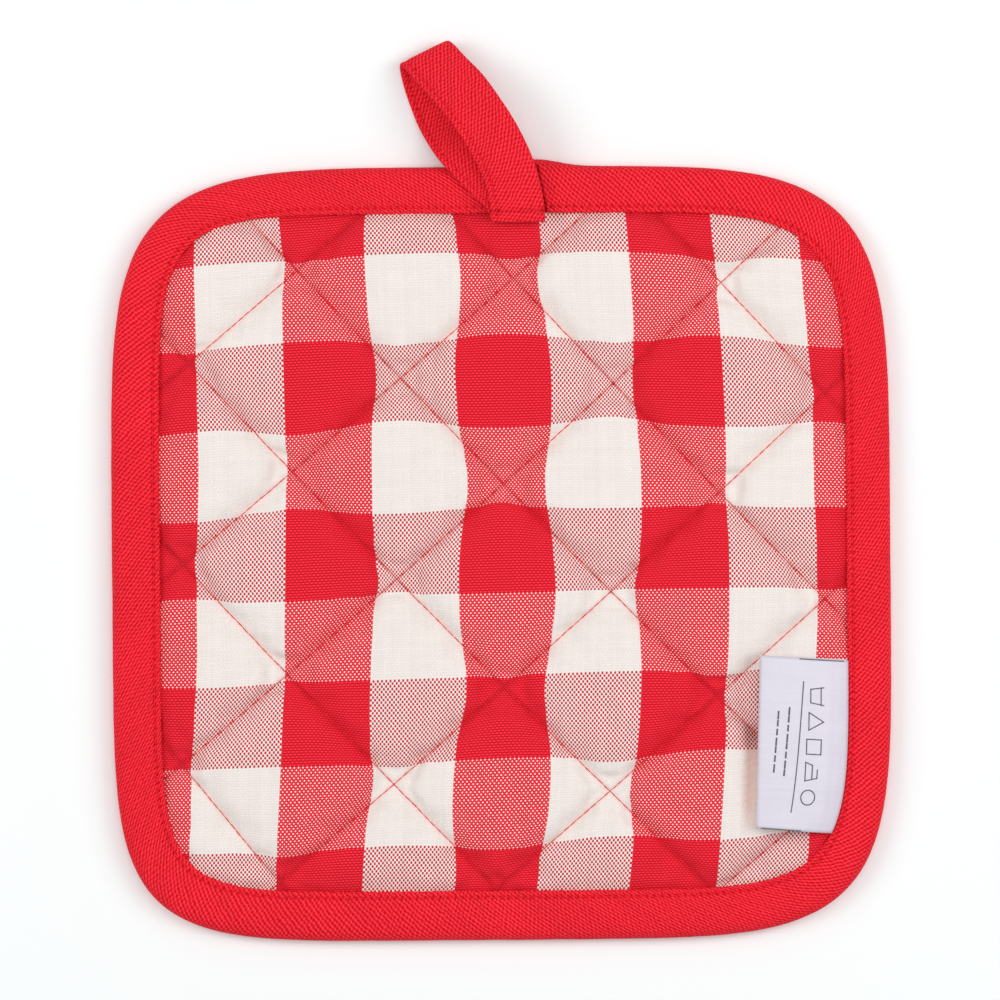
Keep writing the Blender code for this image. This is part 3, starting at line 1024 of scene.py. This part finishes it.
def settle(cover, quilt):
    """Press the face, lay the underside on the table and add the pleats."""
    pucker = quilt.pucker / MM
    middle = (SEAM_TOP + SEAM_UNDERSIDE) / 2
    # How much shade to paint into the cloth at each point.
    painted_shade = cover.data.attributes.new("painted_shade", "FLOAT", "POINT")
    for vert in cover.data.vertices:
        x, y, z = vert.co / SIM_SCALE
        painted_shade.data[vert.index].value = painted_shade_at(x, y)
        if inset_at(x, y) > 0.95:
            pleat = pucker * pucker_at(x, y)
            rough = 0.07 * noise.noise(Vector((x / 9.0, y / 9.0, z / 3.0)))
            if z > middle:
                z = SEAM_TOP + press_face(z - SEAM_TOP) + pleat + rough
                z -= HOLLOW_DEPTH * hollow_at(x, y)
            else:
                z = SEAM_UNDERSIDE - (SEAM_UNDERSIDE - z) * 1.25 + 0.5 * pleat + rough
                z = 0.03 + (z + math.sqrt(z * z + 0.05)) / 2
        vert.co = Vector((x, y, z)) * MM


def make_pad(quilt):
    cover = to_object(quilted_cover(), "quilted_cover", gingham_finish(quilt), SIM_SCALE)
    inflate(cover, quilt)
    smoothing = cover.modifiers.new("smooth", "SUBSURF")
    smoothing.levels = smoothing.render_levels = 1
    applied(cover)
    settle(cover, quilt)
    return cover


# Stitching


def line_ends(line):
    """The part of a quilting line that shows inside the binding, as distances along it."""
    shown = [
        step * 0.5 for step in range(-300, 301)
        if inset_at(*line_point(line, step * 0.5)) > 1.01
    ]
    return shown[0], shown[-1]


def line_point(line, along):
    normal = NORMALS[line]
    x = normal.x * line.distance + normal.y * along
    y = normal.y * line.distance - normal.x * along
    return x, y + sag(x)


def make_quilting(quilt, cover):
    """Rows of stitches lying in the seams of the face and of the underside."""
    surface = BVHTree.FromObject(cover, bpy.context.evaluated_depsgraph_get())
    pitch = quilt.stitch / MM
    stitches = []
    for row, line in enumerate(SEWN_LINES):
        start, end = line_ends(line)
        count = round((end - start) / pitch)
        for height, look, lift in ((30.0, -1.0, 0.05), (-30.0, 1.0, -0.05)):
            holes = []
            for number in range(count + 1):
                wander = 0.16 * noise.noise(Vector((number * 0.7, row * 3.1, height)))
                x, y = line_point(line, start + (end - start) * number / count)
                x += NORMALS[line].x * wander
                y += NORMALS[line].y * wander
                hit = surface.ray_cast(Vector((x, y, height)) * MM, Vector((0.0, 0.0, look)))[0]
                holes.append(hit / MM + Vector((0.0, 0.0, lift)))
            stitches += [(*ends, quilt.thread / MM) for ends in zip(holes, holes[1:])]
    return thread_object("quilting_thread", quilt.thread_red, stitches)


# The binding


def developed(section):
    """How far each point of a closed section lies along it."""
    places = [0.0]
    for before, after in zip(section, (*section[1:], section[0])):
        places.append(places[-1] + math.dist(before, after))
    return places


def needle(column, beside):
    """1 at a station where the needle went in, 0 between two, and beside next to one."""
    return (1.0, beside, 0.0, beside)[column % STATIONS_PER_STITCH]


def make_binding(tape):
    """The binding: a folded tape carried round the edge, drawn in along its stitching."""
    stations = BINDING_STITCHES * STATIONS_PER_STITCH
    angles = even_angles(stations)
    length = sum(
        (border_point(angles[i], 0.4, 0) - border_point(angles[i - 1], 0.4, 0)).length
        for i in range(stations)
    )
    develop = developed([(part.inset * BINDING_WIDTH, part.height) for part in BINDING_SECTION])
    groove = tape.groove / MM
    depth = tape.hole / MM

    def past_join(point):
        """How far a point on the face lies past the binding's folded end, by the loop."""
        if point.y < TOP_SIDE:
            return -99.0
        return point.x - (JOIN_X + (JOIN_Y - point.y) * JOIN_LEAN)

    def place(column, row):
        column %= stations
        part = BINDING_SECTION[row % len(BINDING_SECTION)]
        angle = angles[column]
        along = column / STATIONS_PER_STITCH
        around = Vector((math.cos(angle) * 30.0, math.sin(angle) * 30.0, part.inset * 0.8))
        wave = noise.noise(around * 0.55)
        fine = noise.noise(around * 2.3 + Vector((7.0, 0.0, 0.0)))
        inset = part.inset + 0.012 * wave * (1 - abs(part.inset - 0.5))
        if part.inset > 0.93:
            inset += 0.014 * fine + 0.007 * math.cos(2 * math.pi * along)
        point = border_point(angle, inset, part.height)
        pull = part.sewn * (groove + depth * needle(column, HALF_STITCH))
        face = part.height > 3.0
        if part.sewn:
            point.z += -pull if face else pull
        if 0.2 < part.inset <= 1.0 and part.height > FACE_LAYER:
            plump = math.sin(math.pi * min((1.0 - part.inset) / 0.8, 1.0))
            point.z += plump * (0.16 * wave + 0.1 * fine)
        join = past_join(point)
        if part.height > FACE_LAYER and 0.0 < join < JOIN_FADE:
            point.z += JOIN_STEP * (1 - join / JOIN_FADE)
        if point.y > TOP_SIDE and part.inset < 0.6:
            near = math.exp(-(((point.x - BULGE_X) / BULGE_REACH) ** 2))
            point.y += BULGE * near * (1 - part.inset / 0.6)
        return point

    def lie(column, row):
        return length * MM * column / stations, develop[row] * MM

    # Painted shade in the needle holes and in a dark line along the step where the binding's ends
    # meet.
    def hole(column, row):
        part = BINDING_SECTION[row % len(BINDING_SECTION)]
        if part.height > FACE_LAYER:
            join = past_join(border_point(angles[column % stations], part.inset, 0.0))
            if abs(join) < 0.5:
                return 0.8
        return max(part.sewn - 0.3, 0.0) * 1.3 * needle(column, HALF_STITCH)

    mesh = cloth_grid(stations, len(BINDING_SECTION), place, lie, hole)
    bmesh.ops.remove_doubles(mesh, verts=mesh.verts, dist=0.001)
    bmesh.ops.recalc_face_normals(mesh, faces=mesh.faces)
    return to_object(mesh, "edge_binding", tape_finish(tape))


def make_binding_stitches(tape):
    """Topstitching just outside the binding's inner edge, on the face and underneath."""
    angles = even_angles(BINDING_STITCHES)
    stitches = []
    sunk = tape.groove / MM
    for height in (6.0 - sunk + 0.05, 0.02 + sunk - 0.02):
        holes = [border_point(angle, STITCH_INSET, height) for angle in angles]
        stitches += [(*ends, BINDING_THREAD) for ends in zip(holes, holes[1:] + holes[:1])]
    return thread_object("binding_thread", tape.red, stitches)


# The hanging loop


def spline(rows, share):
    """A smooth curve through rows of numbers, evenly spaced by the length between them."""
    places = [0.0]
    for before, after in zip(rows, rows[1:]):
        places.append(places[-1] + (Vector(after[:3]) - Vector(before[:3])).length)
    wanted = share * places[-1]
    start = 0
    while start < len(rows) - 2 and places[start + 1] < wanted:
        start += 1
    part = (wanted - places[start]) / (places[start + 1] - places[start])

    def slope(index):
        low = max(index - 1, 0)
        high = min(index + 1, len(rows) - 1)
        return (Vector(rows[high]) - Vector(rows[low])) / (places[high] - places[low])

    reach = places[start + 1] - places[start]
    square = part * part
    cube = square * part
    return (
        Vector(rows[start]) * (2 * cube - 3 * square + 1)
        + slope(start) * reach * (cube - 2 * square + part)
        + Vector(rows[start + 1]) * (3 * square - 2 * cube)
        + slope(start + 1) * reach * (cube - square)
    )


def loop_stations():
    """The tape's middle, width and outward direction at every station, and its length."""
    count = TAPE_STITCHES * STATIONS_PER_STITCH
    found = [spline(LOOP_TAPE, step / count) for step in range(count + 1)]
    middles = [Vector((row[0], row[1], max(row[2], 0.78))) for row in found]
    stations = []
    for step, (middle, row) in enumerate(zip(middles, found)):
        across = math.radians(row[3])
        tipped = math.radians(row[4])
        width = Vector((
            math.cos(across) * math.cos(tipped),
            math.sin(across) * math.cos(tipped),
            math.sin(tipped),
        ))
        ahead = middles[min(step + 2, count)] - middles[max(step - 2, 0)]
        outward = width.cross(ahead).normalized()
        stations.append((middle, width, outward))
    length = sum((after - before).length for before, after in zip(middles, middles[1:]))
    return stations, length


def make_loop(tape):
    """The loop: a tape folded along its length and sewn down its open side and across its end."""
    stations, length = loop_stations()
    last = len(stations) - 1
    groove = tape.groove / MM * TAPE_GIVE
    depth = tape.hole / MM * TAPE_GIVE
    develop = developed([(part.side, part.height) for part in TAPE_SECTION])

    def end_row(column):
        """How near a station is to the rows of stitching across the two ends."""
        place = length * column / last
        near = min(abs(place - END_ROW), abs(length - place - END_ROW))
        return math.exp(-((near / 0.6) ** 2))

    def end_row_hole(side):
        return max(math.cos(2 * math.pi * (side - END_ROW_SHIFT) / END_ROW_PITCH), 0.0)

    def place(column, row):
        part = TAPE_SECTION[row % len(TAPE_SECTION)]
        middle, width, outward = stations[column]
        inward = part.sewn * (groove + depth * needle(column, QUARTER_STITCH))
        across_hole = end_row_hole(part.side)
        inward += end_row(column) * (0.16 + 0.22 * across_hole) * (abs(part.height) > 0.5)
        height = part.height - math.copysign(inward, part.height)
        near_end = min(column, last - column)
        height *= min(0.55 + 0.15 * near_end, 1.0)
        wave = noise.noise(Vector((column * 0.05, part.side * 0.12, 3.0)))
        point = middle + width * (part.side + 0.12 * wave) + outward * (height + 0.12 * wave)
        point.z = max(point.z, 0.04)
        return point

    def lie(column, row):
        return length * MM * column / last, (develop[row] + 3.0) * MM

    # Painted shade in the needle holes down the open side and in the rows across the ends.
    def hole(column, row):
        part = TAPE_SECTION[row % len(TAPE_SECTION)]
        beside = max(part.sewn - 0.3, 0.0) * 1.4 * needle(column, QUARTER_STITCH)
        if abs(part.height) < 0.5:
            return beside
        across_hole = end_row_hole(part.side)
        return max(beside, end_row(column) * (0.5 + 0.5 * across_hole))

    mesh = cloth_grid(last, len(TAPE_SECTION), place, lie, hole)
    bmesh.ops.remove_doubles(mesh, verts=mesh.verts, dist=0.001)
    bmesh.ops.holes_fill(mesh, edges=[edge for edge in mesh.edges if edge.is_boundary], sides=0)
    bmesh.ops.recalc_face_normals(mesh, faces=mesh.faces)
    return to_object(mesh, "loop_tape", tape_finish(tape)), length


def make_loop_stitches(tape):
    """Thread down the loop's open side, and the row that holds its ends to the binding."""
    stations, length = loop_stations()
    stitches = []
    rise = TAPE_FACE - tape.groove / MM * TAPE_GIVE + 0.04
    for side in (1.0, -1.0):
        holes = [
            middle + width * TAPE_SIDE_STITCHES + outward * rise * side
            for middle, width, outward in stations[::STATIONS_PER_STITCH]
        ]
        for hole in holes:
            hole.z = max(hole.z, 0.2)
        stitches += [(*ends, LOOP_THREAD) for ends in zip(holes[1:], holes[2:-1])]
    middle, width, outward = stations[round(END_ROW / length * (len(stations) - 1))]
    for number in range(END_ROW_STITCHES):
        left = END_ROW_SHIFT + (number - END_ROW_STITCHES / 2) * END_ROW_PITCH
        ends = (left + 0.35, left + 2.45)
        holes = [middle + width * place + outward * 0.58 for place in ends]
        stitches.append((*holes, END_ROW_THREAD))
    return thread_object("loop_thread", tape.red, stitches)


# The label


def binding_edge_x(y):
    """Where the binding's inner edge crosses a height on the right-hand side."""
    inner = 0.0
    outer = OUTER_EDGE.right
    for _ in range(30):
        middle = (inner + outer) / 2
        if inset_at(middle, y) > 1.0:
            inner = middle
        else:
            outer = middle
    return inner


def label_point(across, down, lift, bulge=0.0):
    """A point of the label: across from its fold to its end, down from its top edge."""
    y = LABEL_TOP - LABEL_LENGTH * down - LABEL_SLANT * across
    fold_x = LABEL_FOLD_TOP_X + (LABEL_FOLD_BOTTOM_X - LABEL_FOLD_TOP_X) * down
    end_x = binding_edge_x(y) - 0.05
    step = max(i for i, point in enumerate(LABEL_ARCH[:-1]) if point.across <= max(across, 0.0))
    before, after = LABEL_ARCH[step], LABEL_ARCH[step + 1]
    part = (across - before.across) / (after.across - before.across)
    part = part * part * (3 - 2 * part) * 0.35 + part * 0.65
    height = before.height + (after.height - before.height) * part
    height += (0.25 * math.sin(math.pi * down) + 0.12 * math.cos(down * 9.0)) * (1 - across)
    return Vector((fold_x - bulge + (end_x - fold_x) * across, y, height + lift))


def make_label(label):
    """The label: out from the binding as the lower layer, round its fold, and back on top."""
    route = [(1 - step / LABEL_STEPS, 0.0, 0.0) for step in range(LABEL_STEPS)]
    for step in range(LABEL_FOLD_STEPS + 1):
        turn = math.pi * step / LABEL_FOLD_STEPS
        route.append((0.0, math.sin(turn) * LABEL_LIFT / 2, LABEL_LIFT * (1 - math.cos(turn)) / 2))
    route += [((step + 1) / LABEL_STEPS, 0.0, LABEL_LIFT) for step in range(LABEL_STEPS)]
    columns = len(route) - 1

    def place(column, row):
        across, bulge, lift = route[column]
        upper = lift / LABEL_LIFT
        lift -= LABEL_DROP * across * upper
        point = label_point(across, 1 - row / LABEL_ROWS, lift, bulge)
        point.y += (1 - upper) * (0.12 + 0.3 * across)
        return point

    def lie(column, row):
        return LABEL_UNFOLDED * MM * column / columns, LABEL_LENGTH * MM * row / LABEL_ROWS

    mesh = cloth_grid(columns, LABEL_ROWS, place, lie)
    bmesh.ops.recalc_face_normals(mesh, faces=mesh.faces)
    ribbon = to_object(mesh, "folded_label", ribbon_finish(label))
    wall = ribbon.modifiers.new("thickness", "SOLIDIFY")
    wall.thickness = label.thickness
    wall.offset = 0.0
    wall.use_even_offset = True
    return ribbon


def stroke(mesh, start, end, width):
    """One dark bar from start to end, given in millimetres from the fold and the top edge, used
    for the printed marks and for the painted shadow lines along the edges.
    """
    steps = max(round(math.dist(start, end) / 1.0), 1)
    made = bmesh.ops.create_grid(mesh, x_segments=steps, y_segments=1, size=1.0)["verts"]
    along = (Vector(end) - Vector(start)).normalized()
    side = Vector((-along.y, along.x)) * width / 2
    start = Vector(start) - along * width / 2
    end = Vector(end) + along * width / 2
    for vert in made:
        across, down = start + (end - start) * (vert.co.x + 1) / 2 + side * vert.co.y
        share = across / LABEL_WIDTH
        lift = LABEL_LIFT - LABEL_DROP * share
        vert.co = label_point(share, down / LABEL_LENGTH, lift)


def make_marks(label):
    """The printed marks, and the dark lines of sealed edge and painted shadow along the open
    edges, as thin plates on the ribbon.
    """
    mesh = bmesh.new()
    for line in (RULE, *SEALED_AND_SHADED_EDGES):
        stroke(mesh, line[:2], line[2:], MARK_WIDTH)
    lean = (RULE[2] - RULE[0]) / (RULE[3] - RULE[1])
    for number, sign in enumerate(SIGNS):
        down = SIGNS_FROM + SIGNS_STEP * number
        across = SIGNS_ACROSS + lean * (down - RULE[1])
        for path in sign:
            spots = [(across - y * SIGN_SIZE, down + x * SIGN_SIZE) for x, y in path]
            for near, far in zip(spots, spots[1:]):
                stroke(mesh, near, far, MARK_WIDTH)
    for row in DASH_ROWS:
        step = (row.end - row.start) / row.dashes
        for number in range(row.dashes):
            down = row.start + step * number
            across = row.across + lean * (down - RULE[1])
            reach = step * (0.55 if number % 3 else 0.75)
            stroke(mesh, (across, down), (across + lean * reach, down + reach), MARK_WIDTH * 1.5)
    bmesh.ops.recalc_face_normals(mesh, faces=mesh.faces)
    marks = to_object(mesh, "label_marks_and_painted_shadow", ink_and_shadow_finish(label))
    wall = marks.modifiers.new("thickness", "SOLIDIFY")
    wall.thickness = 0.00004
    wall.offset = 0.0
    for vert in marks.data.vertices:
        vert.co.z += label.thickness / 2 + 0.00003
    return marks


# The stage


def make_stage(stage):
    mesh = bmesh.new()
    bmesh.ops.create_grid(mesh, x_segments=1, y_segments=1, size=3000.0)
    finish, tree, shader = new_finish("table", 0.9)
    tone = uneven(tree, object_coordinates(tree), 3.0, 0.995, 1.0)
    base = one_colour(tree, stage.table)
    tree.links.new(shade_colour(tree, base, tone), shader.inputs["Base Color"])
    shader.inputs["Specular IOR Level"].default_value = 0.0
    table = to_object(mesh, "table", finish)
    table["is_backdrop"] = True

    world = bpy.data.worlds.new("room")
    bpy.context.scene.world = world
    world.use_nodes = True
    sky = world.node_tree.nodes["Background"]
    sky.inputs["Color"].default_value = (1.0, 1.0, 1.0, 1.0)
    sky.inputs["Strength"].default_value = stage.sky

    low, high = (Vector(corner) for corner in CAD_BOX)
    middle = (low + high) / 2
    lights = (
        ("overhead", (0.1, 0.1, 1.15), 0.9, stage.key),
        ("left_side", (-0.72, 0.12, 0.68), 0.5, stage.sides),
        ("right_side", (0.72, 0.12, 0.68), 0.5, stage.sides * 1.1),
    )
    for name, away, size, power in lights:
        lamp = bpy.data.lights.new(name, "AREA")
        lamp.shape = "SQUARE"
        lamp.size = size
        lamp.energy = power
        holder = bpy.data.objects.new(name, lamp)
        holder.location = middle + Vector(away)
        holder.rotation_euler = Vector(away).to_track_quat("Z", "Y").to_euler()
        bpy.context.scene.collection.objects.link(holder)

    lens = bpy.data.cameras.new("camera")
    lens.sensor_width = 36.0
    face = PUFF_TOP * MM * 0.75
    lens.lens = 36.0 * (stage.camera_height - face) / stage.view_width
    camera = bpy.data.objects.new("camera", lens)
    camera.location = (middle.x - 0.0003, middle.y - 0.0028, stage.camera_height)
    bpy.context.scene.collection.objects.link(camera)
    bpy.context.scene.camera = camera
    bpy.context.scene.view_settings.view_transform = "Standard"


# Operators, panel and registration


def settings():
    return bpy.context.scene.pot_holder


class POTHOLDER_OT_pad(bpy.types.Operator):
    """Make the quilted gingham pad"""

    bl_idname = "pot_holder.pad"
    bl_label = "Quilted Pad"

    def execute(self, context):
        pad = make_pad(settings().quilt)
        place_in_frame(pad, "quilted_pad")
        return {"FINISHED"}


class POTHOLDER_OT_quilting(bpy.types.Operator):
    """Sew the rows of quilting into the pad"""

    bl_idname = "pot_holder.quilting"
    bl_label = "Quilting Thread"

    def execute(self, context):
        thread = make_quilting(settings().quilt, bpy.data.objects["quilted_cover"])
        place_in_frame(thread, None)
        return {"FINISHED"}


class POTHOLDER_OT_binding(bpy.types.Operator):
    """Bind the pad's edge and topstitch the binding"""

    bl_idname = "pot_holder.binding"
    bl_label = "Edge Binding"

    def execute(self, context):
        binding = make_binding(settings().tape)
        place_in_frame(binding, "binding")
        thread = make_binding_stitches(settings().tape)
        place_in_frame(thread, None)
        return {"FINISHED"}


class POTHOLDER_OT_loop(bpy.types.Operator):
    """Fold the hanging loop and sew its ends to the binding"""

    bl_idname = "pot_holder.loop"
    bl_label = "Hanging Loop"

    def execute(self, context):
        loop, length = make_loop(settings().tape)
        place_in_frame(loop, "hanging_loop")
        thread = make_loop_stitches(settings().tape)
        place_in_frame(thread, None)
        return {"FINISHED"}


class POTHOLDER_OT_label(bpy.types.Operator):
    """Fold the ribbon label into the binding, print its marks and paint the shadow along its edges
    """

    bl_idname = "pot_holder.label"
    bl_label = "Folded Label"

    def execute(self, context):
        ribbon = make_label(settings().label)
        place_in_frame(ribbon, "label")
        marks = make_marks(settings().label)
        place_in_frame(marks, None)
        return {"FINISHED"}


class POTHOLDER_OT_stage(bpy.types.Operator):
    """Set the table, the soft light and the camera above"""

    bl_idname = "pot_holder.stage"
    bl_label = "Table, Light and Camera"

    def execute(self, context):
        make_stage(settings().stage)
        return {"FINISHED"}


STEPS = (
    POTHOLDER_OT_stage,
    POTHOLDER_OT_pad,
    POTHOLDER_OT_quilting,
    POTHOLDER_OT_binding,
    POTHOLDER_OT_loop,
    POTHOLDER_OT_label,
)


class POTHOLDER_PT_sidebar(bpy.types.Panel):
    """The pot holder's settings and steps"""

    bl_idname = "POTHOLDER_PT_sidebar"
    bl_label = "Pot Holder"
    bl_space_type = "VIEW_3D"
    bl_region_type = "UI"
    bl_category = "Pot Holder"

    def draw(self, context):
        layout = self.layout
        for group in (settings().quilt, settings().tape, settings().label, settings().stage):
            box = layout.box()
            for name in group.bl_rna.properties.keys():
                if name not in {"rna_type", "name"}:
                    box.prop(group, name)
        for step in STEPS:
            layout.operator(step.bl_idname)


CLASSES = (
    PotHolderQuilt,
    PotHolderTape,
    PotHolderLabel,
    PotHolderStage,
    PotHolder,
    *STEPS,
    POTHOLDER_PT_sidebar,
)


def register():
    for item in CLASSES:
        bpy.utils.register_class(item)
    bpy.types.Scene.pot_holder = PointerProperty(type=PotHolder)


def unregister():
    del bpy.types.Scene.pot_holder
    for item in reversed(CLASSES):
        bpy.utils.unregister_class(item)


def main():
    register()
    bpy.ops.pot_holder.stage()
    bpy.ops.pot_holder.pad()
    bpy.ops.pot_holder.quilting()
    bpy.ops.pot_holder.binding()
    bpy.ops.pot_holder.loop()
    bpy.ops.pot_holder.label()
    sizes = {
        name: [[round(float(number), 6) for number in corner] for corner in box]
        for name, box in (("cad", CAD_BOX), ("visual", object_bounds()))
    }


if __name__ == "__main__":
    main()
